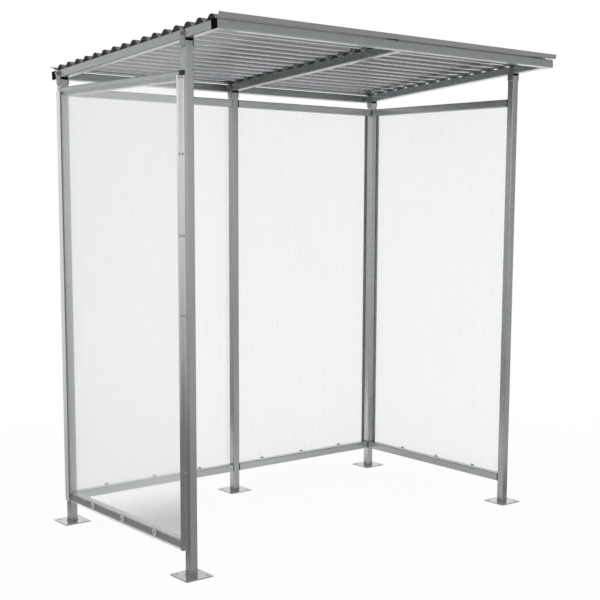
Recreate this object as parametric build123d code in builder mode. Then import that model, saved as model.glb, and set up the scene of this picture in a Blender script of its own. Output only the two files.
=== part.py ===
from build123d import *
from math import asin, cos, radians, sin, tan
import os

# Open-fronted shelter: a bolted frame of square steel tube, clear twin-wall wall sheets
# and a corrugated steel roof that falls from the open front to the back wall.
# Millimetres. X runs along the open front, +Y towards the back wall, +Z up.
# The pieces are laid out from the middle of the front post line at ground level,
# and moved at the end so that the origin is under the middle of the whole shelter.

# Frame
width_over_posts = 1800.0
depth_over_posts = 1008.0
front_post_top = 2005.0
roof_slope_deg = 4.25
front_overhang = 200.0
rear_beam_gap = 10.0

# Square tube
tube = 35.0
tube_wall = 2.0
tube_corner = 4.0

# Rails of the walls
rail_underside = 100.0
top_rail_drop = 32.7

# Base plates
plate_side = 120.0
plate_thickness = 5.0
plate_corner = 4.0
plate_hole_spacing = 85.0
plate_hole_radius = 6.0

# Plastic plugs in the tube ends
post_cap_head = 5.0
rail_cap_head = 3.0
plug_depth = 15.0
plug_clearance = 0.25
head_corner = 2.4

# Straps that hold the rafters down on the posts
strap_width = 30.0
strap_thickness = 4.0
strap_lap = 21.0
strap_top_gap = 1.0

# Bolts through the straps and rafters
bolt_radius = 4.0
bolt_clearance = 0.25
bolt_head_flats = 13.0
bolt_head_height = 5.3
nut_height = 6.5
bolt_tail = 6.0

# Corrugated roof sheet
wave_pitch = 76.2
wave_depth = 18.0
roof_thickness = 0.7
roof_side_overhang = 3.0
roof_front_reach = 10.0
upstand_flat = 3.0
upstand_height = 18.0
upstand_lean_deg = 22.0
roof_rear_run = 50.0

# Wall sheets and the strips over their edges
sheet_thickness = 10.0
sheet_top_drop = 17.0
sheet_edge_gap = 1.0
sheet_joint_gap = 4.0
strip_thickness = 1.5
edge_strip_flange = 24.0
edge_strip_lip = 13.0
corner_trim_flange = 10.0
corner_trim_lip = 30.0
cover_strip_width = 60.0
end_block_length = 20.0

# Worked out from the sizes above
half_tube = tube / 2
bore = tube - 2 * tube_wall
post_x = width_over_posts / 2 - half_tube
rear_line = depth_over_posts - tube
outer_x = width_over_posts / 2
rear_face = rear_line + half_tube
slope = radians(roof_slope_deg)
clear_depth = rear_line - tube
bay_width = post_x - tube

# The underside of the roof frame rests on the rear edge of the front post caps.
roof_plane = Plane(
    origin=(0, half_tube, front_post_top + post_cap_head),
    x_dir=(1, 0, 0),
    z_dir=(0, sin(slope), cos(slope)),
)
front_beam_face = -(front_overhang + tube) / cos(slope)
rear_beam_face = (rear_line + rear_beam_gap) / cos(slope)
rafter_length = rear_beam_face - front_beam_face - tube
wave_count = round((rear_beam_face - front_beam_face + roof_front_reach) / wave_pitch)


def underside_at(y):
    """Height of the roof frame's underside at a distance y behind the front post line."""
    return roof_plane.origin.Z - (y - half_tube) * tan(slope)


rear_post_top = underside_at(rear_face) - post_cap_head
top_rail_top = rear_post_top - top_rail_drop
sheet_top = top_rail_top - sheet_top_drop
wall_height = sheet_top - rail_underside

posts = {
    "front_left": (-post_x, 0, front_post_top),
    "front_right": (post_x, 0, front_post_top),
    "rear_left": (-post_x, rear_line, rear_post_top),
    "rear_middle": (0, rear_line, rear_post_top),
    "rear_right": (post_x, rear_line, rear_post_top),
}
pieces = {}


def keep(name, part):
    """Label a finished piece and keep it for export."""
    part.label = name
    pieces[name] = part


def tube_section():
    """Square tube with rounded outer corners, drawn in the open sketch."""
    RectangleRounded(tube, tube, tube_corner)
    Rectangle(bore, bore, mode=Mode.SUBTRACT)


def make_tube(name, plane, length):
    """Straight tube that starts at a plane and runs along its normal."""
    with BuildPart() as piece:
        with BuildSketch(plane):
            tube_section()
        extrude(amount=length)
    keep(name, piece.part)


def make_plugs(name, planes, head):
    """Plastic plugs, each with its head on a plane and its stem behind that plane."""
    with BuildPart() as plugs:
        for plane in planes:
            with BuildSketch(plane) as outline:
                Rectangle(tube, tube)
                chamfer(outline.vertices(), head_corner)
            extrude(amount=head)
            with BuildSketch(plane):
                Rectangle(bore - 2 * plug_clearance, bore - 2 * plug_clearance)
            extrude(amount=-plug_depth)
    keep(name, plugs.part)


def make_plate(name, x, y):
    """Base plate with a hole near each corner."""
    with BuildPart() as plate:
        with BuildSketch(Plane((x, y, 0))):
            RectangleRounded(plate_side, plate_side, plate_corner)
            with GridLocations(plate_hole_spacing, plate_hole_spacing, 2, 2):
                Circle(plate_hole_radius, mode=Mode.SUBTRACT)
        extrude(amount=plate_thickness)
    keep(name, plate.part)


def strap_bolt_height(y):
    """Height of the bolt through the rafter over a post."""
    return underside_at(y) + tube - strap_width / 2 - strap_top_gap


def make_straps(name, x, y, top):
    """Pair of flat straps, one each side of a post, rounded over the rafter's bolt."""
    bolt_z = strap_bolt_height(y)
    low = top - strap_lap
    with BuildPart() as straps:
        for side in (-1, 1):
            face = Plane(
                origin=(x + side * half_tube, y, bolt_z),
                x_dir=(0, side, 0),
                z_dir=(side, 0, 0),
            )
            with BuildSketch(face):
                Circle(strap_width / 2)
                with Locations((0, (low - bolt_z) / 2)):
                    Rectangle(strap_width, bolt_z - low)
                Circle(bolt_radius + bolt_clearance, mode=Mode.SUBTRACT)
            extrude(amount=strap_thickness)
    keep(name, straps.part)


def make_rafter(name, x, bolt_lines):
    """Tube between the beams, drilled across for the strap bolts."""
    start = Plane(
        origin=roof_plane.from_local_coords((x, front_beam_face + tube, half_tube)),
        x_dir=(1, 0, 0),
        z_dir=roof_plane.y_dir,
    )
    with BuildPart() as rafter:
        with BuildSketch(start):
            tube_section()
        extrude(amount=rafter_length)
        for y in bolt_lines:
            across = Plane(origin=(x, y, strap_bolt_height(y)), x_dir=(0, 1, 0), z_dir=(1, 0, 0))
            with BuildSketch(across):
                Circle(bolt_radius + bolt_clearance)
            extrude(amount=tube, both=True, mode=Mode.SUBTRACT)
    keep(name, rafter.part)


def make_rafter_bolts():
    """Hexagon bolts through the straps, with the nuts on the left."""
    reach = half_tube + strap_thickness
    with BuildPart() as bolts:
        for x, y, top in posts.values():
            axis = Plane(origin=(x, y, strap_bolt_height(y)), x_dir=(0, 1, 0), z_dir=(1, 0, 0))
            with BuildSketch(axis.offset(-reach - nut_height - bolt_tail)):
                Circle(bolt_radius)
            extrude(amount=2 * reach + nut_height + bolt_tail)
            with BuildSketch(axis.offset(-reach - nut_height)):
                RegularPolygon(bolt_head_flats / 2, 6, major_radius=False)
            extrude(amount=nut_height)
            with BuildSketch(axis.offset(reach)):
                RegularPolygon(bolt_head_flats / 2, 6, major_radius=False)
            extrude(amount=bolt_head_height)
    keep("rafter_bolts", bolts.part)


def wave_arc(middle, radius, from_angle, to_angle, up):
    """Arc of the roof wave, its angles measured from the top of a crest or bottom of a trough."""
    def at(angle):
        return (middle[0] + radius * sin(angle), middle[1] + up * radius * cos(angle))

    ThreePointArc(at(from_angle), at((from_angle + to_angle) / 2), at(to_angle))
    return at(to_angle)


def make_roof_sheet():
    """Corrugated sheet with its front edge turned up, drawn from the side and run across."""
    wave_radius = ((wave_pitch / 4) ** 2 + (wave_depth / 2) ** 2) / wave_depth
    lean = asin(wave_pitch / 4 / wave_radius)
    middle_height = tube + roof_thickness / 2 + wave_depth / 2
    rise = wave_radius - wave_depth / 2
    first_trough = front_beam_face - roof_front_reach
    end_angle = asin((roof_rear_run - wave_pitch / 2) / wave_radius)
    upstand = radians(upstand_lean_deg)
    side_plane = Plane(origin=roof_plane.origin, x_dir=roof_plane.y_dir, z_dir=(1, 0, 0))
    with BuildPart() as sheet:
        with BuildSketch(side_plane):
            with BuildLine():
                ends = []
                for skin in (1, -1):
                    off = skin * roof_thickness / 2
                    fold_y = first_trough - upstand_flat + off * tan((radians(90) - upstand) / 2)
                    low = middle_height - wave_depth / 2 + off
                    tip = upstand_height - off
                    tip_point = (fold_y - tip * tan(upstand), low + tip)
                    fold_point = (fold_y, low)
                    trough_point = (first_trough, low)
                    Line(tip_point, fold_point)
                    Line(fold_point, trough_point)
                    trough_middle = (first_trough, middle_height + rise)
                    wave_arc(trough_middle, wave_radius - off, 0, lean, -1)
                    for wave in range(wave_count):
                        crest_middle = (first_trough + (wave + 0.5) * wave_pitch, middle_height - rise)
                        wave_arc(crest_middle, wave_radius + off, -lean, lean, 1)
                        trough_middle = (first_trough + (wave + 1) * wave_pitch, middle_height + rise)
                        wave_arc(trough_middle, wave_radius - off, -lean, lean, -1)
                    crest_middle = (first_trough + (wave_count + 0.5) * wave_pitch, middle_height - rise)
                    last = wave_arc(crest_middle, wave_radius + off, -lean, end_angle, 1)
                    ends.append((tip_point, last))
                Line(ends[0][0], ends[1][0])
                Line(ends[0][1], ends[1][1])
            make_face()
        extrude(amount=outer_x + roof_side_overhang, both=True)
    keep("roof_sheet", sheet.part)


def make_upright(name, *outlines):
    """Wall pieces with plan outlines, standing from the rail's underside to the sheet's top."""
    with BuildPart() as upright:
        for outline in outlines:
            with BuildSketch(Plane.XY.offset(rail_underside)):
                with BuildLine():
                    Polyline(*outline, close=True)
                make_face()
            extrude(amount=wall_height)
    keep(name, upright.part)


def rectangle_outline(x1, y1, x2, y2):
    return [(x1, y1), (x2, y1), (x2, y2), (x1, y2)]


def strip_section(flange, lip):
    """Z-shaped strip: flange on the post, web along the sheet's edge, lip over the sheet.

    Each point is a distance along the wall, from the web's face towards the sheet,
    and a distance out from the faces of the posts.
    """
    out = sheet_thickness + strip_thickness
    return [
        (-flange, 0),
        (-flange, strip_thickness),
        (-strip_thickness, strip_thickness),
        (-strip_thickness, out),
        (lip - strip_thickness, out),
        (lip - strip_thickness, sheet_thickness),
        (0, sheet_thickness),
        (0, 0),
    ]


def edge_strip_outline(side):
    """Strip on the outer face of a front post."""
    section = strip_section(edge_strip_flange, edge_strip_lip)
    return [(side * (outer_x + out), half_tube + along) for along, out in section]


def corner_trim_outlines(side):
    """Strips on the outer face and the back of a rear corner post."""
    section = strip_section(corner_trim_flange, corner_trim_lip)
    return [
        [(side * (outer_x + out), side_web_y - along) for along, out in section],
        [(side * (rear_web_x - along), rear_face + out) for along, out in section],
    ]


# Posts, base plates and straps
for place, (x, y, top) in posts.items():
    make_tube(f"post_{place}", Plane((x, y, plate_thickness)), top - plate_thickness)
    make_plate(f"base_plate_{place}", x, y)
    make_straps(f"straps_{place}", x, y, top)
make_plugs("post_caps", [Plane((x, y, top)) for x, y, top in posts.values()], post_cap_head)

# Rails of the walls, each with a plug at both ends against the posts
rail_levels = {"bottom": rail_underside + half_tube, "top": top_rail_top - half_tube}
rail_plug_planes = []
for level, z in rail_levels.items():
    rails = {
        "left": ((-post_x, half_tube, z), (0, 1, 0), clear_depth),
        "right": ((post_x, half_tube, z), (0, 1, 0), clear_depth),
        "rear_left": ((-post_x + half_tube, rear_line, z), (1, 0, 0), bay_width),
        "rear_right": ((half_tube, rear_line, z), (1, 0, 0), bay_width),
    }
    for wall, (start, direction, gap) in rails.items():
        near = Plane(origin=start, x_dir=(0, 0, 1), z_dir=direction).offset(rail_cap_head)
        length = gap - 2 * rail_cap_head
        make_tube(f"rail_{wall}_{level}", near, length)
        rail_plug_planes.append(Plane(origin=near.origin, x_dir=(0, 0, 1), z_dir=-near.z_dir))
        rail_plug_planes.append(near.offset(length))
make_plugs("rail_caps", rail_plug_planes, rail_cap_head)

# Roof frame: beams at the front and back, rafters between them
beam_length = width_over_posts - 2 * rail_cap_head
beam_plug_planes = []
for place, face in {"front": front_beam_face, "rear": rear_beam_face}.items():
    start = roof_plane.from_local_coords((-beam_length / 2, face + half_tube, half_tube))
    near = Plane(origin=start, x_dir=roof_plane.y_dir, z_dir=(1, 0, 0))
    make_tube(f"beam_{place}", near, beam_length)
    beam_plug_planes.append(Plane(origin=start, x_dir=roof_plane.y_dir, z_dir=(-1, 0, 0)))
    beam_plug_planes.append(near.offset(beam_length))
make_plugs("beam_caps", beam_plug_planes, rail_cap_head)
make_rafter("rafter_left", -post_x, (0, rear_line))
make_rafter("rafter_middle", 0, (rear_line,))
make_rafter("rafter_right", post_x, (0, rear_line))
make_rafter_bolts()
make_roof_sheet()

# Wall sheets on the outer faces of the rails, and the strips over their edges
side_web_y = rear_face - tube_corner - corner_trim_flange
rear_web_x = outer_x - tube_corner - corner_trim_flange
side_front = half_tube + sheet_edge_gap
side_back = side_web_y - sheet_edge_gap
rear_end_x = rear_web_x - sheet_edge_gap
sheet_outer_x = outer_x + sheet_thickness
sheet_outer_y = rear_face + sheet_thickness
half_joint = sheet_joint_gap / 2
make_upright("wall_sheet_left", rectangle_outline(-sheet_outer_x, side_front, -outer_x, side_back))
make_upright("wall_sheet_right", rectangle_outline(outer_x, side_front, sheet_outer_x, side_back))
make_upright("wall_sheet_rear_left", rectangle_outline(-rear_end_x, rear_face, -half_joint, sheet_outer_y))
make_upright("wall_sheet_rear_right", rectangle_outline(half_joint, rear_face, rear_end_x, sheet_outer_y))
make_upright("edge_strip_left", edge_strip_outline(-1))
make_upright("edge_strip_right", edge_strip_outline(1))
make_upright("corner_trim_left", *corner_trim_outlines(-1))
make_upright("corner_trim_right", *corner_trim_outlines(1))
make_upright(
    "cover_strip_rear",
    rectangle_outline(
        -cover_strip_width / 2, sheet_outer_y, cover_strip_width / 2, sheet_outer_y + strip_thickness
    ),
)

# Blocks that close the tops of the edge strips
with BuildPart() as end_blocks:
    for side in (-1, 1):
        block_x = side * (outer_x + sheet_thickness / 2)
        block_y = half_tube - edge_strip_flange / 2
        with BuildSketch(Plane((block_x, block_y, sheet_top))):
            Rectangle(sheet_thickness, end_block_length)
        extrude(amount=top_rail_top - sheet_top)
keep("strip_end_blocks", end_blocks.part)

# Export each piece with the origin under the middle of the shelter
boxes = [piece.bounding_box() for piece in pieces.values()]
front_edge = min(box.min.Y for box in boxes)
back_edge = max(box.max.Y for box in boxes)
to_origin = Location((0, -(front_edge + back_edge) / 2, 0))
os.makedirs("parts", exist_ok=True)
for name, piece in pieces.items():
    placed = piece.moved(to_origin)
    placed.label = name
    export_step(placed, f"parts/{name}.step")
print("depth", round(back_edge - front_edge, 3), "moved by", round(to_origin.position.Y, 4))
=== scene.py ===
"""Finishes and small parts of a smoking shelter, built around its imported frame.

The frame, roof sheet, wall sheets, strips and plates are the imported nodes. This file gives them
their steel, plastic and clear-sheet finishes, and adds the fasteners, weld beads, roof screws and
the ribs inside the twin-wall sheets. Lengths are in metres.
"""

import math
import random

import bmesh
import bpy
from mathutils import Matrix, Vector


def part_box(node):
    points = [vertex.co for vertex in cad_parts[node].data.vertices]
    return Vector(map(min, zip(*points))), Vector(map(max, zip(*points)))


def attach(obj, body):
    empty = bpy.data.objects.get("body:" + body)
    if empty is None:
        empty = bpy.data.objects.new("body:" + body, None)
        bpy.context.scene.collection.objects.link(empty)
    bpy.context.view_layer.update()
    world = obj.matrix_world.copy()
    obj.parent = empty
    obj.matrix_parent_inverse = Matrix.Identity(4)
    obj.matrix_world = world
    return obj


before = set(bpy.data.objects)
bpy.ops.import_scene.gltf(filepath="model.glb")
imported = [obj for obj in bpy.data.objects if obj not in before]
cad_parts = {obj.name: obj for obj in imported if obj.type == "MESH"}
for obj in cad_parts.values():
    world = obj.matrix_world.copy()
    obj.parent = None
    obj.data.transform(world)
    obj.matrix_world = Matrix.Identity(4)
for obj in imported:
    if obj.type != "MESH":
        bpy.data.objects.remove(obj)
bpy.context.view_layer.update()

bl_info = {
    "name": "Smoking Shelter Finishes",
    "version": (1, 0, 0),
    "blender": (4, 5, 0),
    "location": "View3D > Sidebar > Shelter",
    "description": "Finishes, fasteners, welds and stage for an open-fronted shelter",
    "category": "Object",
}

BODY = "root"
POSTS = ("front_left", "front_right", "rear_left", "rear_middle", "rear_right")
WALLS = ("left", "right", "rear_left", "rear_right")

# The camera, fitted to the photograph, and the level directions ahead of it and to its left
LENS_SPOT = (-3.2359, -4.0607, 1.4564)
LENS_YAW, LENS_PITCH, LENS_ROLL = math.radians(40.316), math.radians(-7.490), math.radians(0.487)
LENS_SHIFT = (-0.07055, 0.07949)
AHEAD = (math.sin(LENS_YAW), math.cos(LENS_YAW))
LEFTWARD = (-math.cos(LENS_YAW), math.sin(LENS_YAW))

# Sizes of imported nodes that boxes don't give
STRIP_THICKNESS = 0.0015
ROOF_THICKNESS = 0.0007
ROOF_SLOPE = math.radians(4.25)
WAVE_PITCH = 0.0762


# Settings


class ShelterSteel(bpy.types.PropertyGroup):
    """Colours of the steel pieces."""

    tube_tone: bpy.props.FloatVectorProperty(
        name="Tube", description="Colour of the galvanised tube",
        default=(0.49, 0.505, 0.51), min=0, max=1, subtype="COLOR")
    roof_tone: bpy.props.FloatVectorProperty(
        name="Roof sheet", description="Colour of the corrugated sheet",
        default=(0.49, 0.50, 0.51), min=0, max=1, subtype="COLOR")
    strip_tone: bpy.props.FloatVectorProperty(
        name="Strips", description="Colour of the bright folded strips",
        default=(0.86, 0.87, 0.86), min=0, max=1, subtype="COLOR")
    plate_tone: bpy.props.FloatVectorProperty(
        name="Base plates", description="Colour of the base plates",
        default=(0.56, 0.565, 0.56), min=0, max=1, subtype="COLOR")
    fixing_tone: bpy.props.FloatVectorProperty(
        name="Fixings", description="Colour of bolts, nuts, screws and rivets",
        default=(0.62, 0.62, 0.61), min=0, max=1, subtype="COLOR")
    # Painted light: a lighter copy of the tube tone for the rear right post, the rear rails and
    # beam and the right rafter, standing in for the light they catch
    painted_light_lift: bpy.props.FloatProperty(
        name="Painted lighter tone",
        description="How much lighter the zinc of the back and the right rafter is",
        default=1.25, min=1, max=1.8)
    spangle_size: bpy.props.FloatProperty(
        name="Spangle", description="Size of the zinc crystals",
        default=0.006, min=0.001, max=0.05, unit="LENGTH")


class ShelterSheets(bpy.types.PropertyGroup):
    """Sizes and clearness of the twin-wall sheets."""

    tint: bpy.props.FloatVectorProperty(
        name="Tint", description="Colour of the clear sheet",
        default=(0.95, 0.955, 0.96), min=0, max=1, subtype="COLOR")
    skin_opacity: bpy.props.FloatProperty(
        name="Skin opacity", description="How much each skin hides",
        default=0.17, min=0, max=1, subtype="FACTOR")
    rib_pitch: bpy.props.FloatProperty(
        name="Rib pitch", description="Distance between ribs",
        default=0.016, min=0.005, max=0.05, unit="LENGTH")
    rib_thickness: bpy.props.FloatProperty(
        name="Rib thickness", description="Thickness of a rib",
        default=0.0006, min=0.0002, max=0.003, unit="LENGTH")
    skin_thickness: bpy.props.FloatProperty(
        name="Skin thickness", description="Thickness of a skin, which the ribs stop short of",
        default=0.0005, min=0.0002, max=0.003, unit="LENGTH")


class ShelterFixings(bpy.types.PropertyGroup):
    """Sizes of bolts, washers, screws, rivets and welds."""

    washer_diameter: bpy.props.FloatProperty(
        name="Washer", description="Diameter of the wide washers on the wall sheets",
        default=0.028, min=0.01, max=0.06, unit="LENGTH")
    washer_thickness: bpy.props.FloatProperty(
        name="Washer thickness", description="Thickness of the wide washers",
        default=0.002, min=0.0005, max=0.005, unit="LENGTH")
    head_diameter: bpy.props.FloatProperty(
        name="Bolt head", description="Diameter of the domed bolt heads on the sheets",
        default=0.013, min=0.004, max=0.03, unit="LENGTH")
    screw_diameter: bpy.props.FloatProperty(
        name="Strip screw head", description="Diameter of the screw heads along the strips",
        default=0.009, min=0.003, max=0.02, unit="LENGTH")
    rivet_diameter: bpy.props.FloatProperty(
        name="Rear strip rivet head", description="Diameter of the rivet heads on the rear strips",
        default=0.0065, min=0.003, max=0.01, unit="LENGTH")
    screw_spacing: bpy.props.FloatProperty(
        name="Strip screw spacing", description="Distance between screws or rivets along a strip",
        default=0.2985, min=0.05, max=1, unit="LENGTH")
    weld_leg: bpy.props.FloatProperty(
        name="Weld leg", description="Leg of the weld bead round a post's foot",
        default=0.005, min=0.001, max=0.015, unit="LENGTH")


class ShelterStage(bpy.types.PropertyGroup):
    """Floor, lamps and camera."""

    floor_tone: bpy.props.FloatVectorProperty(
        name="Floor", description="Colour of the pale floor",
        default=(0.86, 0.86, 0.86), min=0, max=1, subtype="COLOR")
    floor_radius: bpy.props.FloatProperty(
        name="Floor radius", description="Radius of the round floor",
        default=30.0, min=2, max=100, unit="LENGTH")
    shadow_share: bpy.props.FloatProperty(
        name="Shadow share", description="How much of the floor's shading the camera sees",
        default=0.05, min=0, max=1, subtype="FACTOR")
    room_light: bpy.props.FloatProperty(
        name="Room light", description="Strength of the even light from all round",
        default=0.62, min=0, max=2)
    lens: bpy.props.FloatProperty(
        name="Lens", description="Focal length of the camera", default=69.683, min=10, max=300)


# Making meshes


def finish_mesh(name, bm, material, smooth_angle=35):
    """Turn a bmesh into a piece that rides on the body and has a finish."""
    bmesh.ops.recalc_face_normals(bm, faces=bm.faces)
    mesh = bpy.data.meshes.new(name)
    bm.to_mesh(mesh)
    bm.free()
    piece = bpy.data.objects.new(name, mesh)
    bpy.context.scene.collection.objects.link(piece)
    mesh.materials.append(material)
    mesh.shade_smooth()
    mesh.set_sharp_from_angle(angle=math.radians(smooth_angle))
    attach(piece, BODY)
    return piece


def facing(point, direction):
    """Matrix that puts local +Z along a direction at a point."""
    aim = Vector(direction).to_track_quat("Z", "Y").to_matrix().to_4x4()
    return Matrix.Translation(point) @ aim


def round_loop(bm, radius, height, matrix, steps):
    """Loop of vertices round local Z."""
    loop = []
    for step in range(steps):
        angle = math.tau * step / steps
        point = Vector((radius * math.cos(angle), radius * math.sin(angle), height))
        loop.append(bm.verts.new(matrix @ point))
    return loop


def band(bm, low, high):
    """Quads between two closed loops of the same length."""
    for step in range(len(low)):
        after = (step + 1) % len(low)
        bm.faces.new((low[step], low[after], high[after], high[step]))


def turned(bm, profile, matrix, steps=24):
    """Closed solid turned round local Z from (radius, height) pairs, its ends on the axis."""
    rings = []
    for radius, height in profile:
        if radius == 0:
            rings.append([bm.verts.new(matrix @ Vector((0, 0, height)))])
        else:
            rings.append(round_loop(bm, radius, height, matrix, steps))
    for low, high in zip(rings[:-1], rings[1:]):
        if len(low) == len(high):
            band(bm, low, high)
            continue
        for step in range(steps):
            after = (step + 1) % steps
            if len(low) == 1:
                bm.faces.new((low[0], high[step], high[after]))
            else:
                bm.faces.new((low[step], low[after], high[0]))


def ring_solid(bm, section, matrix, steps=32):
    """Ring with a closed (radius, height) section, such as a washer."""
    loops = []
    for step in range(steps):
        angle = math.tau * step / steps
        aim = Vector((math.cos(angle), math.sin(angle), 0))
        loops.append([
            bm.verts.new(matrix @ (aim * radius + Vector((0, 0, height))))
            for radius, height in section
        ])
    for step in range(steps):
        band(bm, loops[step], loops[(step + 1) % steps])


def hexagon_head(bm, flats, height, matrix):
    """Hexagon head with its top corners chamfered and a flat crown."""
    sides = 6
    corner = flats / 2 / math.cos(math.pi / sides)
    chamfer = height * 0.22
    crown = flats / 2 * 0.94
    levels = ((corner, 0), (corner, height - chamfer), (crown, height))
    rings = [round_loop(bm, radius, level, matrix, sides) for radius, level in levels]
    bm.faces.new(rings[0])
    bm.faces.new(rings[-1])
    for low, high in zip(rings[:-1], rings[1:]):
        band(bm, low, high)


def dome_profile(diameter, rise, rounds=6):
    """Half section of a domed head on a short straight edge; the rise is a share of its width."""
    radius, height = diameter / 2, diameter * rise
    edge = height * 0.2
    points = [(0, 0), (radius, 0), (radius, edge)]
    for step in range(1, rounds):
        angle = math.pi / 2 * step / rounds
        points.append((radius * math.cos(angle), edge + (height - edge) * math.sin(angle)))
    points.append((0, height))
    return points


def weld_bead(bm, start, end, out, up, leg, rng, ripples):
    """Fillet weld between two faces: out runs along one face and up along the other."""
    start, end, out, up = Vector(start), Vector(end), Vector(out), Vector(up)
    steps = ripples * 4
    section_turns = 6
    end_size, end_rise = 0.35, 6
    ripple_depth, unevenness = 0.10, 0.05
    loops = []
    for step in range(steps + 1):
        share = step / steps
        taper = min(1.0, end_rise * share + end_size, end_rise * (1 - share) + end_size)
        ripple = 1 + ripple_depth * math.cos(math.tau * ripples * share)
        size = leg * taper * (ripple + rng.uniform(-unevenness, unevenness))
        centre = start.lerp(end, share)
        loop = [bm.verts.new(centre)]
        for turn in range(section_turns + 1):
            angle = math.pi / 2 * turn / section_turns
            bulge = 0.86 + 0.14 * abs(math.cos(2 * angle))
            reach = (out * math.cos(angle) + up * math.sin(angle)) * size * bulge
            loop.append(bm.verts.new(centre + reach))
        loops.append(loop)
    for here, there in zip(loops[:-1], loops[1:]):
        band(bm, here, there)
    bm.faces.new(loops[0])
    bm.faces.new(loops[-1])


# Making materials


def put(tree, kind, settings=None, **values):
    """Add a shader node, with settings on the node and values on its inputs."""
    node = tree.nodes.new(kind)
    for name, value in (settings or {}).items():
        setattr(node, name, value)
    for name, value in values.items():
        numbered = name[0] == "i" and name[1:].isdigit()
        socket = node.inputs[int(name[1:]) if numbered else name.replace("_", " ")]
        if isinstance(value, bpy.types.NodeSocket):
            tree.links.new(value, socket)
        else:
            socket.default_value = value
    return node


def maths(tree, operation, first, second=0.0, clamp=False):
    """Math node with two values."""
    settings = {"operation": operation, "use_clamp": clamp}
    return put(tree, "ShaderNodeMath", settings, i0=first, i1=second).outputs[0]


def noise(tree, place, scale, detail, **values):
    """Noise value from 0 to 1."""
    node = put(tree, "ShaderNodeTexNoise", Vector=place, Scale=scale, Detail=detail, **values)
    return node.outputs["Fac"]


def swing(tree, pattern, middle, depth):
    """How far a pattern is from its middle, times a depth."""
    return maths(tree, "MULTIPLY", maths(tree, "SUBTRACT", pattern, middle), depth)


def weighed(tree, main, other):
    """Two patterns added, the main one with the larger share."""
    main_share = 0.6
    return maths(
        tree, "ADD", maths(tree, "MULTIPLY", main, main_share),
        maths(tree, "MULTIPLY", other, 1 - main_share))


def vector_maths(tree, operation, first, output, **values):
    """Vector Math node's output."""
    node = put(tree, "ShaderNodeVectorMath", {"operation": operation}, i0=first, **values)
    return node.outputs[output]


def mapped(tree, value, low, high, start=0.0, end=1.0, soft=False):
    """Value mapped from one range to another, with a soft step or a straight one."""
    settings = {"interpolation_type": "SMOOTHSTEP" if soft else "LINEAR"}
    node = put(
        tree, "ShaderNodeMapRange", settings, Value=value, From_Min=start, From_Max=end,
        To_Min=low, To_Max=high)
    return node.outputs[0]


def ease(tree, value, start, end, low=0.0, high=1.0):
    """Soft step from one value to another."""
    return mapped(tree, value, low, high, start, end, soft=True)


def mixed(tree, share, low, high):
    """Two values mixed by a share."""
    node = put(tree, "ShaderNodeMix", {"data_type": "FLOAT"}, i0=share, i2=low, i3=high)
    return node.outputs[0]


def shared(tree, values):
    """Product of several masks."""
    product = values[0]
    for value in values[1:]:
        product = maths(tree, "MULTIPLY", product, value)
    return product


def towards(tree, place, direction):
    """How far a place or direction reaches along a level direction."""
    return vector_maths(tree, "DOT_PRODUCT", place, "Value", i1=(*direction, 0))


def away(tree, place, spot):
    """Distance of a place from a spot on the floor."""
    return vector_maths(tree, "DISTANCE", place, "Value", i1=(*spot, 0))


def effect_group(name, takes, gives):
    """New node group with named sockets, its input and output nodes."""
    group = bpy.data.node_groups.new(name, "ShaderNodeTree")
    for label, kind, default in takes:
        socket = group.interface.new_socket(label, in_out="INPUT", socket_type=kind)
        socket.default_value = default
    for label, kind in gives:
        group.interface.new_socket(label, in_out="OUTPUT", socket_type=kind)
    return group, group.nodes.new("NodeGroupInput"), group.nodes.new("NodeGroupOutput")


def zinc_surface_group():
    """Zinc coat: soft clouds, crystal spangle and fine drawing lines over a base tone."""
    if "Zinc Surface" in bpy.data.node_groups:
        return bpy.data.node_groups["Zinc Surface"]
    group, given, made = effect_group(
        "Zinc Surface",
        [
            ("Tone", "NodeSocketColor", (0.4, 0.4, 0.4, 1)),
            ("Clouds", "NodeSocketFloat", 0.1),
            ("Spangle", "NodeSocketFloat", 0.1),
            ("Spangle Scale", "NodeSocketFloat", 160.0),
            ("Lines", "NodeSocketFloat", 0.1),
            ("Line Stretch", "NodeSocketVector", (300, 300, 4)),
            ("Roughness", "NodeSocketFloat", 0.35),
            ("Roughness Spread", "NodeSocketFloat", 0.1),
        ],
        [
            ("Color", "NodeSocketColor"),
            ("Roughness", "NodeSocketFloat"),
            ("Height", "NodeSocketFloat"),
        ],
    )
    take = given.outputs
    place = put(group, "ShaderNodeTexCoord").outputs["Object"]
    clouds = noise(group, place, 4.5, 4.0, Roughness=0.55)
    patches = noise(group, place, 42.0, 3.0)
    cells = put(group, "ShaderNodeTexVoronoi", Vector=place, Scale=take["Spangle Scale"])
    crystal = put(group, "ShaderNodeSeparateColor", Color=cells.outputs["Color"]).outputs[0]
    stretched = vector_maths(group, "MULTIPLY", place, 0, i1=take["Line Stretch"])
    lines = noise(group, stretched, 1.0, 3.0)
    shade = 1.0
    for pattern, depth in ((clouds, "Clouds"), (crystal, "Spangle"), (lines, "Lines")):
        shade = maths(group, "ADD", swing(group, pattern, 0.5, take[depth]), shade)
    toned = vector_maths(group, "SCALE", take["Tone"], 0, Scale=shade)
    rough_mix = maths(group, "ADD", patches, maths(group, "MULTIPLY", crystal, 0.4))
    rough_change = swing(group, rough_mix, 0.7, take["Roughness Spread"])
    rough = maths(group, "ADD", rough_change, take["Roughness"], clamp=True)
    height = weighed(group, lines, patches)
    group.links.new(toned, made.inputs["Color"])
    group.links.new(rough, made.inputs["Roughness"])
    group.links.new(height, made.inputs["Height"])
    return group


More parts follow.
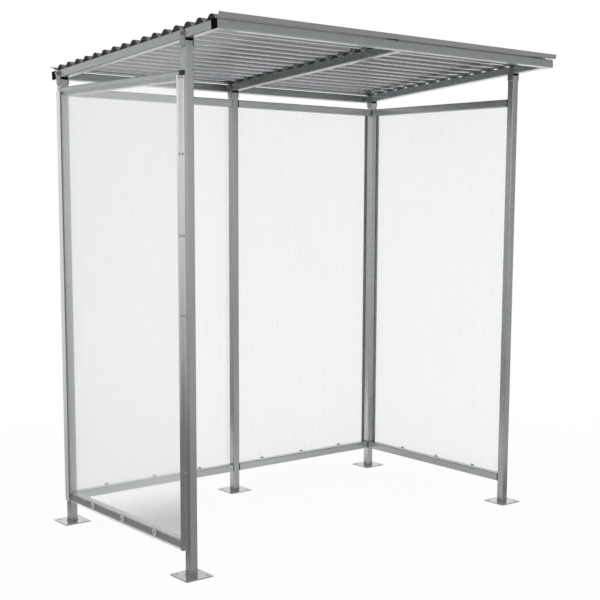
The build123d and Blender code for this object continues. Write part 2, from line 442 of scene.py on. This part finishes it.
def handling_marks_group():
    """Scuffs and smudges from handling, laid over a colour."""
    if "Handling Marks" in bpy.data.node_groups:
        return bpy.data.node_groups["Handling Marks"]
    group, given, made = effect_group(
        "Handling Marks",
        [
            ("Color", "NodeSocketColor", (0.4, 0.4, 0.4, 1)),
            ("Mark Color", "NodeSocketColor", (0.6, 0.6, 0.6, 1)),
            ("Amount", "NodeSocketFloat", 0.2),
            ("Scale", "NodeSocketFloat", 12.0),
        ],
        [("Color", "NodeSocketColor"), ("Mask", "NodeSocketFloat")],
    )
    place = put(group, "ShaderNodeTexCoord").outputs["Object"]
    take = given.outputs
    blotches = noise(group, place, take["Scale"], 6.0, Roughness=0.7, Distortion=0.6)
    mask = maths(group, "MULTIPLY", ease(group, blotches, 0.56, 0.72), take["Amount"])
    scuffed = put(
        group, "ShaderNodeMix", {"data_type": "RGBA"}, i0=mask, i6=take["Color"],
        i7=take["Mark Color"])
    group.links.new(scuffed.outputs[2], made.inputs["Color"])
    group.links.new(mask, made.inputs["Mask"])
    return group


def new_material(name):
    """Empty material with a Principled shader, its tree and shader returned."""
    material = bpy.data.materials.new(name)
    material.use_nodes = True
    tree = material.node_tree
    tree.nodes.clear()
    shader = put(tree, "ShaderNodeBsdfPrincipled")
    put(tree, "ShaderNodeOutputMaterial", Surface=shader.outputs[0])
    return material, tree, shader


def coat(tree, shader, color, rough, relief):
    """Link a colour, a roughness and a relief to the shader."""
    tree.links.new(color, shader.inputs["Base Color"])
    tree.links.new(rough, shader.inputs["Roughness"])
    tree.links.new(relief.outputs[0], shader.inputs["Normal"])


def marked(tree, color, mark_tone, amount, scale=12.0):
    """Colour with handling marks over it."""
    marks = put(
        tree, "ShaderNodeGroup", {"node_tree": handling_marks_group()}, Color=color,
        Mark_Color=(*mark_tone, 1), Amount=amount, Scale=scale)
    return marks.outputs["Color"]


def steel(name, tone, stretch, clouds=0.10, spangle=0.10, spangle_size=0.006, lines=0.06,
          rough=0.24, rough_spread=0.08, bump=0.02, marks=0.18, mark_tone=(0.6, 0.6, 0.6),
          metal=0.9):
    """Zinc-coated steel: drawing lines follow the stretch, with marks from handling."""
    if name in bpy.data.materials:
        return bpy.data.materials[name]
    material, tree, shader = new_material(name)
    surface = put(
        tree, "ShaderNodeGroup", {"node_tree": zinc_surface_group()}, Tone=(*tone, 1),
        Clouds=clouds, Spangle=spangle, Spangle_Scale=1 / spangle_size, Lines=lines,
        Line_Stretch=stretch, Roughness=rough, Roughness_Spread=rough_spread).outputs
    relief = put(
        tree, "ShaderNodeBump", Strength=bump, Distance=0.0006, Height=surface["Height"])
    shader.inputs["Metallic"].default_value = metal
    worn = marked(tree, surface["Color"], mark_tone, marks)
    coat(tree, shader, worn, surface["Roughness"], relief)
    return material


# Stretch of the drawing lines: fine across the piece and long down it
ALONG_X, ALONG_Y, ALONG_Z = (5, 420, 420), (420, 5, 420), (420, 420, 5)


def tube_steel(axis, painted_lighter=False):
    """Galvanised tube finish with its drawing lines along an axis; the lighter copy is painted
    light for the parts that catch more light.
    """
    settings = bpy.context.scene.shelter_steel
    names = {ALONG_X: "across", ALONG_Y: "deep", ALONG_Z: "upright"}
    prefix, lift = ("fresh_", settings.painted_light_lift) if painted_lighter else ("", 1.0)
    tone = [min(1.0, part * lift) for part in settings.tube_tone]
    return steel(
        f"{prefix}galvanised_tube_{names[axis]}", tone, axis,
        spangle_size=settings.spangle_size, bump=0.0, marks=0.0, metal=0.85)


def strip_steel(name, rough, metal):
    """Folded strip finish: shiny on the front posts, duller on the rear corners."""
    settings = bpy.context.scene.shelter_steel
    return steel(
        name, settings.strip_tone, ALONG_Z, clouds=0.06, spangle=0.05, lines=0.06, rough=rough,
        rough_spread=0.06, bump=0.0, marks=0.12, mark_tone=(0.7, 0.7, 0.7), metal=metal)


def fixing_steel():
    """Plated finish of bolts, nuts, screws and rivets."""
    settings = bpy.context.scene.shelter_steel
    return steel(
        "plated_fixing_steel", settings.fixing_tone, (60, 60, 60), clouds=0.05, spangle=0.06,
        spangle_size=0.0015, lines=0.08, rough=0.26, rough_spread=0.14, bump=0.05, marks=0.15,
        mark_tone=(0.4, 0.4, 0.38))


def washer_steel():
    """Bright matt zinc of the wide washers."""
    return steel(
        "bright_washer_steel", (0.86, 0.86, 0.85), (60, 60, 60), clouds=0.05, spangle=0.06,
        spangle_size=0.0015, lines=0.06, rough=0.35, rough_spread=0.1, bump=0.05, marks=0.1,
        metal=0.5)


def weld_steel():
    """Weld metal under zinc, a little rougher and patchier."""
    return steel(
        "galvanised_weld", (0.5, 0.5, 0.49), (160, 160, 160), clouds=0.2, spangle=0.16,
        spangle_size=0.002, lines=0.2, rough=0.32, rough_spread=0.3, bump=0.3, marks=0.4,
        mark_tone=(0.28, 0.28, 0.27))


def moulded_plastic(name, tone, mark_tone, mark_scale, grain_scale, bump, depth, rough_range,
                    patch_scale=None, specular=0.5):
    """Moulded plastic: its relief follows a fine grain, its roughness the grain or patches."""
    if name in bpy.data.materials:
        return bpy.data.materials[name]
    material, tree, shader = new_material(name)
    place = put(tree, "ShaderNodeTexCoord").outputs["Object"]
    grain = noise(tree, place, grain_scale, 3.0)
    patches = noise(tree, place, patch_scale, 4.0) if patch_scale else grain
    relief = put(tree, "ShaderNodeBump", Strength=bump, Distance=depth, Height=grain)
    shader.inputs["Specular IOR Level"].default_value = specular
    worn = marked(tree, (*tone, 1), mark_tone, 0.6, mark_scale)
    coat(tree, shader, worn, mapped(tree, patches, *rough_range), relief)
    return material


def black_plastic():
    """Black plastic of the plugs and the roof screws' seals."""
    return moulded_plastic(
        "black_moulded_plastic", tone=(0.002, 0.002, 0.0021), mark_tone=(0.006, 0.006, 0.0062),
        mark_scale=45.0, grain_scale=900.0, bump=0.25, depth=0.0003,
        rough_range=(0.55, 0.7, 0.3, 0.7), patch_scale=60.0, specular=0.03)


def dark_block_finish():
    """Dark grey finish of the blocks over the edge strips."""
    return moulded_plastic(
        "dark_block_plastic", tone=(0.03, 0.031, 0.033), mark_tone=(0.07, 0.07, 0.07),
        mark_scale=70.0, grain_scale=500.0, bump=0.3, depth=0.0004, rough_range=(0.4, 0.62))


def sheet_streaks_group():
    """Upright streaks of an extruded sheet: tint, opacity and roughness change along them."""
    if "Sheet Streaks" in bpy.data.node_groups:
        return bpy.data.node_groups["Sheet Streaks"]
    group, given, made = effect_group(
        "Sheet Streaks",
        [
            ("Tint", "NodeSocketColor", (0.9, 0.9, 0.9, 1)),
            ("Opacity", "NodeSocketFloat", 0.25),
            ("Opacity Spread", "NodeSocketFloat", 0.2),
            ("Roughness", "NodeSocketFloat", 0.4),
        ],
        [
            ("Color", "NodeSocketColor"),
            ("Opacity", "NodeSocketFloat"),
            ("Roughness", "NodeSocketFloat"),
            ("Height", "NodeSocketFloat"),
        ],
    )
    take = given.outputs
    place = put(group, "ShaderNodeTexCoord").outputs["Object"]
    stretched = vector_maths(group, "MULTIPLY", place, 0, i1=(70, 70, 0.7))
    streaks = noise(group, stretched, 1.0, 4.0, Roughness=0.6)
    haze = noise(group, place, 3.0, 3.0)
    change = swing(group, weighed(group, streaks, haze), 0.5, take["Opacity Spread"])
    opacity = maths(group, "ADD", take["Opacity"], change, clamp=True)
    shade = maths(group, "ADD", 1.0, swing(group, streaks, 0.5, 0.06))
    toned = vector_maths(group, "SCALE", take["Tint"], 0, Scale=shade)
    rough = maths(group, "ADD", take["Roughness"], maths(group, "MULTIPLY", haze, 0.15), clamp=True)
    group.links.new(toned, made.inputs["Color"])
    group.links.new(opacity, made.inputs["Opacity"])
    group.links.new(rough, made.inputs["Roughness"])
    group.links.new(streaks, made.inputs["Height"])
    return group


def clear_sheet(name, passes, rough, bend, opacity=None, spread=0.0, tint_share=1.0):
    """Clear extruded plastic: with an opacity, part of what is behind shows straight through."""
    if name in bpy.data.materials:
        return bpy.data.materials[name]
    settings = bpy.context.scene.shelter_sheets
    material, tree, shader = new_material(name)
    tint = [1 - (1 - part) * tint_share for part in settings.tint]
    streaks = put(
        tree, "ShaderNodeGroup", {"node_tree": sheet_streaks_group()}, Tint=(*tint, 1),
        Opacity=opacity or 1.0, Opacity_Spread=spread, Roughness=rough).outputs
    relief = put(
        tree, "ShaderNodeBump", Strength=0.01, Distance=0.0008, Height=streaks["Height"])
    shader.inputs["IOR"].default_value = bend
    shader.inputs["Transmission Weight"].default_value = passes
    if opacity:
        tree.links.new(streaks["Opacity"], shader.inputs["Alpha"])
    coat(tree, shader, streaks["Color"], streaks["Roughness"], relief)
    return material


def dress(names, material):
    """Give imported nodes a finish."""
    for name in names:
        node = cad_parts[name]
        node.data.materials.clear()
        node.data.materials.append(material)


# The pieces


class SHELTER_OT_tubes(bpy.types.Operator):
    """Finish the posts, rails, beams and rafters as galvanised square tube"""

    bl_idname = "shelter.tubes"
    bl_label = "Tubes"

    def execute(self, context):
        side_rails, rear_rails = [
            [f"rail_{wall}_{level}" for wall in walls for level in ("bottom", "top")]
            for walls in (WALLS[:2], WALLS[2:])
        ]
        # The rear right post, the rear rails, the rear beam and the right rafter take the lighter
        # copy of the tube finish: painted light for the light they catch
        *plain_posts, painted_lighter_post = [f"post_{place}" for place in POSTS]
        finishes = (
            (plain_posts, ALONG_Z, False),
            ([painted_lighter_post], ALONG_Z, True),
            (side_rails, ALONG_Y, False),
            (rear_rails, ALONG_X, True),
            (["beam_front"], ALONG_X, False),
            (["beam_rear"], ALONG_X, True),
            (["rafter_left", "rafter_middle"], ALONG_Y, False),
            (["rafter_right"], ALONG_Y, True),
        )
        for names, axis, painted_lighter in finishes:
            dress(names, tube_steel(axis, painted_lighter))
        return {"FINISHED"}


class SHELTER_OT_plugs(bpy.types.Operator):
    """Finish the plugs in the tube ends and the blocks over the edge strips"""

    bl_idname = "shelter.plugs"
    bl_label = "Plugs"

    def execute(self, context):
        dress(["post_caps", "rail_caps", "beam_caps"], black_plastic())
        dress(["strip_end_blocks"], dark_block_finish())
        return {"FINISHED"}


class SHELTER_OT_roof(bpy.types.Operator):
    """Finish the corrugated roof sheet"""

    bl_idname = "shelter.roof"
    bl_label = "Roof sheet"

    def execute(self, context):
        settings = context.scene.shelter_steel
        dress(["roof_sheet"], steel(
            "galvanised_roof_sheet", settings.roof_tone, ALONG_X, spangle=0.05,
            spangle_size=0.009, lines=0.03, rough=0.12, rough_spread=0.05, bump=0.0, marks=0.1))
        return {"FINISHED"}


class SHELTER_OT_base_plates(bpy.types.Operator):
    """Finish the base plates and weld each post to its plate"""

    bl_idname = "shelter.base_plates"
    bl_label = "Base plates"

    def execute(self, context):
        settings = context.scene.shelter_steel
        leg = context.scene.shelter_fixings.weld_leg
        plate = steel(
            "galvanised_base_plate", settings.plate_tone, (90, 90, 90), clouds=0.16, spangle=0.2,
            spangle_size=0.004, lines=0.12, rough=0.14, rough_spread=0.1, bump=0.05, marks=0.3,
            mark_tone=(0.66, 0.66, 0.65))
        dress([f"base_plate_{place}" for place in POSTS], plate)
        rng = random.Random(11)
        inset = 0.004
        ripples = 9
        for place in POSTS:
            low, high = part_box(f"post_{place}")
            plate_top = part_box(f"base_plate_{place}")[1].z
            bm = bmesh.new()
            sides = (
                ((low.x + inset, low.y), (high.x - inset, low.y), (0, -1)),
                ((high.x, low.y + inset), (high.x, high.y - inset), (1, 0)),
                ((high.x - inset, high.y), (low.x + inset, high.y), (0, 1)),
                ((low.x, high.y - inset), (low.x, low.y + inset), (-1, 0)),
            )
            for start, end, out in sides:
                weld_bead(
                    bm, (*start, plate_top), (*end, plate_top), (*out, 0), (0, 0, 1), leg, rng,
                    ripples)
            finish_mesh(f"foot_weld_{place}", bm, weld_steel(), smooth_angle=50)
        return {"FINISHED"}


class SHELTER_OT_straps(bpy.types.Operator):
    """Finish the straps and rafter bolts, and weld each strap to its post"""

    bl_idname = "shelter.straps"
    bl_label = "Straps"

    def execute(self, context):
        darker, strap_leg_share = 0.8, 0.6
        tone = [part * darker for part in context.scene.shelter_steel.tube_tone]
        dress([f"straps_{place}" for place in POSTS], steel(
            "galvanised_strap", tone, ALONG_Z, clouds=0.12, spangle=0.12, lines=0.08, rough=0.3,
            marks=0.25))
        dress(["rafter_bolts"], fixing_steel())
        leg = context.scene.shelter_fixings.weld_leg * strap_leg_share
        rng = random.Random(23)
        end_gap, foot_gap = 0.002, 0.003
        edge_ripples, foot_ripples = 5, 7
        for place in POSTS:
            post_low, post_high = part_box(f"post_{place}")
            low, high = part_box(f"straps_{place}")
            bm = bmesh.new()
            for side, x in ((-1, post_low.x), (1, post_high.x)):
                for edge, y in ((-1, low.y), (1, high.y)):
                    weld_bead(
                        bm, (x, y, low.z + end_gap), (x, y, post_high.z - end_gap), (side, 0, 0),
                        (0, edge, 0), leg, rng, edge_ripples)
                weld_bead(
                    bm, (x, low.y + foot_gap, low.z), (x, high.y - foot_gap, low.z),
                    (side, 0, 0), (0, 0, -1), leg, rng, foot_ripples)
            finish_mesh(f"strap_weld_{place}", bm, weld_steel(), smooth_angle=50)
        return {"FINISHED"}


class SHELTER_OT_wall_sheets(bpy.types.Operator):
    """Finish the clear wall sheets and fill them with their upright ribs"""

    bl_idname = "shelter.wall_sheets"
    bl_label = "Wall sheets"

    def execute(self, context):
        settings = context.scene.shelter_sheets
        skin = clear_sheet(
            "clear_sheet_skin", passes=0.3, rough=0.3, bend=1.1, opacity=settings.skin_opacity,
            spread=0.08)
        rib = clear_sheet("clear_sheet_rib", passes=1.0, rough=0.03, bend=1.015, tint_share=0.6)
        dress([f"wall_sheet_{wall}" for wall in WALLS], skin)
        half = flare = settings.rib_thickness / 2
        skin_depth = settings.skin_thickness
        for wall in WALLS:
            low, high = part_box(f"wall_sheet_{wall}")
            along = 1 if wall in ("left", "right") else 0
            across = 1 - along
            length = high[along] - low[along]
            count = int(length / settings.rib_pitch)
            margin = (length - (count - 1) * settings.rib_pitch) / 2
            inner, outer = low[across] + skin_depth, high[across] - skin_depth
            section = (
                (inner, -half - flare), (inner + flare, -half),
                (outer - flare, -half), (outer, -half - flare),
                (outer, half + flare), (outer - flare, half),
                (inner + flare, half), (inner, half + flare),
            )
            bm = bmesh.new()
            for index in range(count):
                middle = low[along] + margin + index * settings.rib_pitch
                outline = [(depth, middle + offset) for depth, offset in section]
                self.upright_prism(
                    bm, along, across, low.z + skin_depth, high.z - skin_depth, outline)
            finish_mesh(f"sheet_ribs_{wall}", bm, rib)
        return {"FINISHED"}

    def upright_prism(self, bm, along, across, bottom, top, outline):
        """Closed upright solid over an outline of (depth, length) points."""
        loops = []
        for z in (bottom, top):
            loop = []
            for depth, reach in outline:
                point = [0, 0, z]
                point[across], point[along] = depth, reach
                loop.append(bm.verts.new(point))
            loops.append(loop)
        band(bm, *loops)
        bm.faces.new(loops[0])
        bm.faces.new(loops[1])


class SHELTER_OT_strips(bpy.types.Operator):
    """Finish the edge strips, corner trims and cover strip, with their screws and rivets"""

    bl_idname = "shelter.strips"
    bl_label = "Strips and trims"

    def execute(self, context):
        fixings = context.scene.shelter_fixings
        bright = strip_steel("bright_strip_steel", rough=0.2, metal=0.95)
        dull = strip_steel("corner_trim_steel", rough=0.3, metal=0.5)
        dress(["edge_strip_left", "edge_strip_right"], bright)
        dress(["corner_trim_left", "corner_trim_right"], dull)
        dress(["cover_strip_rear"], clear_sheet(
            "clear_joint_strip", passes=0.8, rough=0.1, bend=1.1, opacity=0.2, spread=0.05))
        screw = dome_profile(fixings.screw_diameter, rise=0.375)
        rivet = dome_profile(fixings.rivet_diameter, rise=0.3)
        screw_line, rivet_line = 0.0115, 0.0087
        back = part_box("wall_sheet_rear_left")[0].y + STRIP_THICKNESS
        for side, name in ((-1, "left"), (1, "right")):
            low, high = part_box(f"edge_strip_{name}")
            post_low, post_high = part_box(f"post_front_{name}")
            face = (post_low.x if side < 0 else post_high.x) + side * STRIP_THICKNESS
            levels = self.heights(low.z, high.z, fixings.screw_spacing)
            bm = bmesh.new()
            for z in levels:
                self.head(bm, screw, (face, low.y + screw_line, z), (side, 0, 0))
            finish_mesh(f"edge_strip_screws_{name}", bm, fixing_steel())
            side_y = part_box(f"post_rear_{name}")[1].y - rivet_line
            back_x = face - side * rivet_line
            bm = bmesh.new()
            for z in levels:
                self.head(bm, rivet, (face, side_y, z), (side, 0, 0))
                self.head(bm, rivet, (back_x, back, z), (0, 1, 0))
            finish_mesh(f"corner_trim_rivets_{name}", bm, fixing_steel())
        low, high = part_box("cover_strip_rear")
        bm = bmesh.new()
        for z in self.heights(low.z, high.z, fixings.screw_spacing):
            self.head(bm, rivet, (0, high.y, z), (0, 1, 0))
        finish_mesh("cover_strip_rivets", bm, fixing_steel())
        return {"FINISHED"}

    def head(self, bm, profile, point, direction):
        """Domed head on a face."""
        turned(bm, profile, facing(point, direction), steps=16)

    def heights(self, low, high, spacing):
        """Heights of the screws: one near each end, the rest evenly spaced from the bottom."""
        end = 0.0085
        count = int((high - low - end) / spacing) + 1
        heights = [low + end + index * spacing for index in range(count)]
        if high - end - heights[-1] > spacing / 2:
            heights.append(high - end)
        return heights


class SHELTER_OT_rail_bolts(bpy.types.Operator):
    """Bolt the wall sheets to the bottom rails with wide washers"""

    bl_idname = "shelter.rail_bolts"
    bl_label = "Rail bolts"

    def execute(self, context):
        fixings = context.scene.shelter_fixings
        radius = fixings.washer_diameter / 2
        thick = fixings.washer_thickness
        edge = thick * 0.25
        hole = fixings.head_diameter * 0.3
        washer = (
            (hole, 0), (radius - edge, 0), (radius, edge), (radius, thick - edge),
            (radius - edge, thick), (hole, thick),
        )
        head = dome_profile(fixings.head_diameter, rise=0.4)
        sunk = 0.0002
        bolt_height = 0.0255
        side_places = (-0.1788, 0.0750, 0.3274)
        rear_spacing = 0.2525
        for wall in WALLS:
            low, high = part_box(f"wall_sheet_{wall}")
            rail_low, rail_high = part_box(f"rail_{wall}_bottom")
            z = rail_low.z + bolt_height
            if wall in ("left", "right"):
                direction = Vector((-1 if wall == "left" else 1, 0, 0))
                face = low.x if wall == "left" else high.x
                spots = [Vector((face, y, z)) for y in side_places]
            else:
                direction = Vector((0, 1, 0))
                middle = (rail_low.x + rail_high.x) / 2
                spots = [Vector((middle + step * rear_spacing, high.y, z)) for step in (-1, 0, 1)]
            washers, bolts = bmesh.new(), bmesh.new()
            for spot in spots:
                ring_solid(washers, washer, facing(spot, direction))
                turned(bolts, head, facing(spot + direction * (thick - sunk), direction), steps=20)
            finish_mesh(f"rail_washers_{wall}", washers, washer_steel())
            finish_mesh(f"rail_bolts_{wall}", bolts, fixing_steel())
        return {"FINISHED"}


class SHELTER_OT_roof_screws(bpy.types.Operator):
    """Screw the roof sheet down through its troughs with washered hexagon heads"""

    bl_idname = "shelter.roof_screws"
    bl_label = "Roof screws"

    def execute(self, context):
        normal = Vector((0, math.sin(ROOF_SLOPE), math.cos(ROOF_SLOPE)))
        downhill = Vector((0, math.cos(ROOF_SLOPE), -math.sin(ROOF_SLOPE)))
        beam_low, beam_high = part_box("beam_front")
        front = Vector((0, beam_low.y, beam_high.z))
        first_back = 0.0101
        rafter_lines = (-0.8825, 0.0, 0.8825)
        seal = ((0, 0), (0.008, 0), (0.0085, 0.001), (0.008, 0.002), (0, 0.002))
        flange = ((0, 0.002), (0.0078, 0.002), (0.0078, 0.0028), (0.004, 0.0038), (0, 0.0038))
        head_width, head_height, head_base = 0.008, 0.005, 0.0035
        seals, screws = bmesh.new(), bmesh.new()
        for trough in range(1, 17, 3):
            along = downhill * (trough * WAVE_PITCH - first_back)
            for x in rafter_lines:
                spot = front + along + normal * ROOF_THICKNESS
                spot.x = x
                turned(seals, seal, facing(spot, normal), steps=20)
                head_spot = facing(spot + normal * head_base, normal)
                hexagon_head(screws, head_width, head_height, head_spot)
                turned(screws, flange, facing(spot, normal), steps=20)
        finish_mesh("roof_screw_seals", seals, black_plastic())
        finish_mesh("roof_screws", screws, fixing_steel())
        return {"FINISHED"}


class SHELTER_OT_stage(bpy.types.Operator):
    """Set the floor, world, lamps and camera"""

    bl_idname = "shelter.stage"
    bl_label = "Stage"

    def execute(self, context):
        settings = context.scene.shelter_stage
        self.floor(settings)
        self.world(settings)
        self.lamps()
        self.camera(context, settings)
        context.scene.view_settings.view_transform = "Standard"
        return {"FINISHED"}

    def ray_kinds(self, tree):
        """Two masks: rays that have met no mirror yet, and all rays that see the white room."""
        path = put(tree, "ShaderNodeLightPath").outputs
        seen = maths(tree, "ADD", path["Is Camera Ray"], path["Is Transmission Ray"], clamp=True)
        unmirrored = maths(tree, "LESS_THAN", path["Glossy Depth"], 0.5)
        direct = maths(tree, "MULTIPLY", seen, unmirrored)
        return direct, maths(tree, "ADD", seen, path["Is Glossy Ray"], clamp=True)

    def floor(self, settings):
        """Round pale floor that keeps the shadow and reads as white to the camera."""
        bm = bmesh.new()
        bmesh.ops.create_circle(bm, cap_ends=True, radius=settings.floor_radius, segments=64)
        mesh = bpy.data.meshes.new("pale_floor")
        bm.to_mesh(mesh)
        bm.free()
        floor = bpy.data.objects.new("pale_floor", mesh)
        gap_below_plates = 0.0005
        floor.location.z = -gap_below_plates
        bpy.context.scene.collection.objects.link(floor)
        material, tree, shader = new_material("pale_floor")
        place = put(tree, "ShaderNodeTexCoord").outputs["Object"]
        shader.inputs["Base Color"].default_value = (*settings.floor_tone, 1)
        rough = mapped(tree, noise(tree, place, 30.0, 4.0), 0.75, 0.9)
        tree.links.new(rough, shader.inputs["Roughness"])
        direct, shown = self.ray_kinds(tree)
        # Mirrors see a painted reflection of the floor, and the floor seen through the sheets under
        # the roof carries a painted shadow
        tone = mixed(
            tree, direct, self.painted_floor_reflection(tree, place), self.seen_floor(tree, place))
        near = ease(tree, away(tree, place, (0, 0)), 1.2, 3.6, 1.0 - settings.shadow_share)
        white = put(tree, "ShaderNodeEmission", Color=tone, Strength=1.0)
        blend = put(
            tree, "ShaderNodeMixShader", Fac=maths(tree, "MULTIPLY", shown, near),
            i1=shader.outputs[0], i2=white.outputs[0])
        output = next(node for node in tree.nodes if node.type == "OUTPUT_MATERIAL")
        tree.links.new(blend.outputs[0], output.inputs["Surface"])
        mesh.materials.append(material)

    def painted_floor_reflection(self, tree, place):
        """Tone of the floor in mirrors, a painted reflection: dark rings round the front left,
        patches and a white back.
        """
        reach = 20.0
        from_lens = maths(tree, "DIVIDE", away(tree, place, (-2.5, -3.0)), reach)
        rings = put(tree, "ShaderNodeValToRGB", Fac=from_lens)
        ramp = rings.color_ramp
        ramp.elements[0].color = (0.07, 0.07, 0.07, 1)
        ramp.elements[1].color = (0.58, 0.58, 0.58, 1)
        between = (
            (0.1, 0.18), (0.15, 0.38), (0.215, 0.66), (0.26, 0.4), (0.36, 0.44), (0.5, 0.44),
            (0.62, 0.58),
        )
        for position, tone in between:
            ramp.elements.new(position).color = (tone, tone, tone, 1)
        axes = put(tree, "ShaderNodeSeparateXYZ", Vector=place).outputs
        x, y = axes["X"], axes["Y"]
        from_left = away(tree, place, (-1.6, 0.4))
        patches = (
            # Right of the front right post
            (0.16, (
                ease(tree, x, 0.7, 1.1), ease(tree, y, -1.2, -0.6),
                ease(tree, y, -0.3, 0.0, 1.0, 0.0))),
            # Outside the left wall
            (0.1, (
                ease(tree, from_left, 1.2, 3.4, 1.0, 0.0),
                ease(tree, x, -1.1, -0.95, 1.0, 0.0))),
            # Behind the rear wall
            (1.0, (ease(tree, x, -1.0, -0.7), ease(tree, y, 0.55, 1.0))),
            # Far back, but for what lies far to the left
            (1.0, (
                ease(tree, towards(tree, place, AHEAD), 2.0, 3.0),
                ease(tree, towards(tree, place, LEFTWARD), 3.0, 6.0, 1.0, 0.0))),
        )
        tone = rings.outputs["Color"]
        for patch_tone, edges in patches:
            tone = mixed(tree, shared(tree, edges), tone, patch_tone)
        return tone

    def seen_floor(self, tree, place):
        """Tone of the floor as seen: white, but with a painted shadow, grey under the roof, where
        it is seen through a clear sheet.
        """
        depth = put(tree, "ShaderNodeLightPath").outputs["Transparent Depth"]
        axes = put(tree, "ShaderNodeSeparateXYZ", Vector=place).outputs
        x, y = axes["X"], axes["Y"]
        painted_roof_shadow = shared(tree, (
            maths(tree, "GREATER_THAN", depth, 0.5), ease(tree, x, -1.1, -0.5),
            ease(tree, x, 0.5, 1.1, 1.0, 0.0), ease(tree, y, -0.9, -0.3),
            ease(tree, y, 0.25, 0.9, 1.0, 0.0)))
        return mixed(tree, painted_roof_shadow, 1.0, 0.46)

    def world(self, settings):
        """Even room light, with the room itself shown to camera, glossy and clear rays."""
        world = bpy.data.worlds.new("white_room")
        bpy.context.scene.world = world
        world.use_nodes = True
        tree = world.node_tree
        tree.nodes.clear()
        direct, shown = self.ray_kinds(tree)
        tone = mixed(tree, direct, self.mirrored_room(tree), 1.0)
        light = put(
            tree, "ShaderNodeBackground", Color=(0.97, 0.985, 1.0, 1),
            Strength=settings.room_light)
        room = put(tree, "ShaderNodeBackground", Color=tone, Strength=1.0)
        blend = put(
            tree, "ShaderNodeMixShader", Fac=shown, i1=light.outputs[0], i2=room.outputs[0])
        put(tree, "ShaderNodeOutputWorld", Surface=blend.outputs[0])

    def mirrored_room(self, tree):
        """Tone of the room in mirrors: darker in front and above, lighter at the back and left."""
        direction = put(tree, "ShaderNodeTexCoord").outputs["Generated"]
        leftward = towards(tree, direction, LEFTWARD)
        ahead = towards(tree, direction, AHEAD)
        climb = put(tree, "ShaderNodeSeparateXYZ", Vector=direction).outputs["Z"]
        left_tone = shared(tree, (
            ease(tree, climb, -0.02, 0.07, 0.5, 1.0),
            ease(tree, climb, 0.085, 0.12, 1.0, 0.42)))
        side = mixed(tree, ease(tree, leftward, -0.3, 0.3), 0.38, left_tone)
        front_tone = ease(tree, climb, 0.05, 0.13, 1.0, 0.45)
        front_share = ease(tree, ahead, -0.5, -0.02, 1.0, 0.0)
        front = mixed(tree, front_share, side, front_tone)
        walls = mixed(tree, ease(tree, ahead, 0.5, 0.8), front, 1.0)
        return mixed(tree, ease(tree, climb, 0.3, 0.6), walls, 0.22)

    def lamps(self):
        """Large soft lamps: overhead, front left and front right."""
        # Name, place, aim, size in metres and power in watts
        lamps = (
            ("overhead_softbox", (0.2, -0.6, 4.6), (0.0, 0.0, 0.6), 3.6, 55.0),
            ("left_softbox", (-5.2, -1.6, 2.6), (-0.4, 0.0, 1.0), 2.6, 70.0),
            ("right_softbox", (4.2, -4.6, 2.8), (0.2, 0.0, 1.0), 2.6, 55.0),
        )
        for name, spot, aim, size, power in lamps:
            lamp = bpy.data.lights.new(name, "AREA")
            lamp.shape = "SQUARE"
            lamp.size = size
            lamp.energy = power
            holder = bpy.data.objects.new(name, lamp)
            holder.location = spot
            holder.rotation_euler = (Vector(aim) - Vector(spot)).to_track_quat("-Z", "Y").to_euler()
            holder.visible_glossy = False
            holder.visible_transmission = False
            bpy.context.scene.collection.objects.link(holder)

    def camera(self, context, settings):
        """Camera at the photograph's place and angle."""
        ahead = Vector((*AHEAD, 0)) * math.cos(LENS_PITCH) + Vector((0, 0, math.sin(LENS_PITCH)))
        level = -Vector((*LEFTWARD, 0))
        above = level.cross(ahead)
        right = level * math.cos(LENS_ROLL) + above * math.sin(LENS_ROLL)
        up = above * math.cos(LENS_ROLL) - level * math.sin(LENS_ROLL)
        data = bpy.data.cameras.new("photo_camera")
        data.sensor_width = 36.0
        data.lens = settings.lens
        data.shift_x, data.shift_y = LENS_SHIFT
        camera = bpy.data.objects.new("photo_camera", data)
        turn = Matrix((right, up, -ahead)).transposed().to_4x4()
        camera.matrix_world = Matrix.Translation(LENS_SPOT) @ turn
        context.scene.collection.objects.link(camera)
        context.scene.camera = camera


class SHELTER_PT_panel(bpy.types.Panel):
    """Lists the steps that finish the shelter."""

    bl_idname = "SHELTER_PT_panel"
    bl_label = "Smoking Shelter"
    bl_space_type = "VIEW_3D"
    bl_region_type = "UI"
    bl_category = "Shelter"

    def draw(self, context):
        layout = self.layout
        for settings_name in SETTINGS:
            group = getattr(context.scene, settings_name)
            box = layout.box()
            for name in group.__annotations__:
                box.prop(group, name)
        for step in STEPS:
            layout.operator(step.bl_idname)


STEPS = (
    SHELTER_OT_tubes, SHELTER_OT_plugs, SHELTER_OT_roof, SHELTER_OT_roof_screws,
    SHELTER_OT_base_plates, SHELTER_OT_straps, SHELTER_OT_wall_sheets, SHELTER_OT_strips,
    SHELTER_OT_rail_bolts, SHELTER_OT_stage,
)
SETTINGS = {
    "shelter_steel": ShelterSteel,
    "shelter_sheets": ShelterSheets,
    "shelter_fixings": ShelterFixings,
    "shelter_stage": ShelterStage,
}


def register():
    """Register the settings, steps and panel."""
    for group in SETTINGS.values():
        bpy.utils.register_class(group)
    for name, group in SETTINGS.items():
        setattr(bpy.types.Scene, name, bpy.props.PointerProperty(type=group))
    for step in STEPS:
        bpy.utils.register_class(step)
    bpy.utils.register_class(SHELTER_PT_panel)


def unregister():
    """Take the panel, steps and settings away again."""
    bpy.utils.unregister_class(SHELTER_PT_panel)
    for step in reversed(STEPS):
        bpy.utils.unregister_class(step)
    for name, group in SETTINGS.items():
        delattr(bpy.types.Scene, name)
        bpy.utils.unregister_class(group)


def main():
    """Run every step."""
    register()
    for step in STEPS:
        category, name = step.bl_idname.split(".")
        getattr(getattr(bpy.ops, category), name)()
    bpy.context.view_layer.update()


if __name__ == "__main__":
    main()
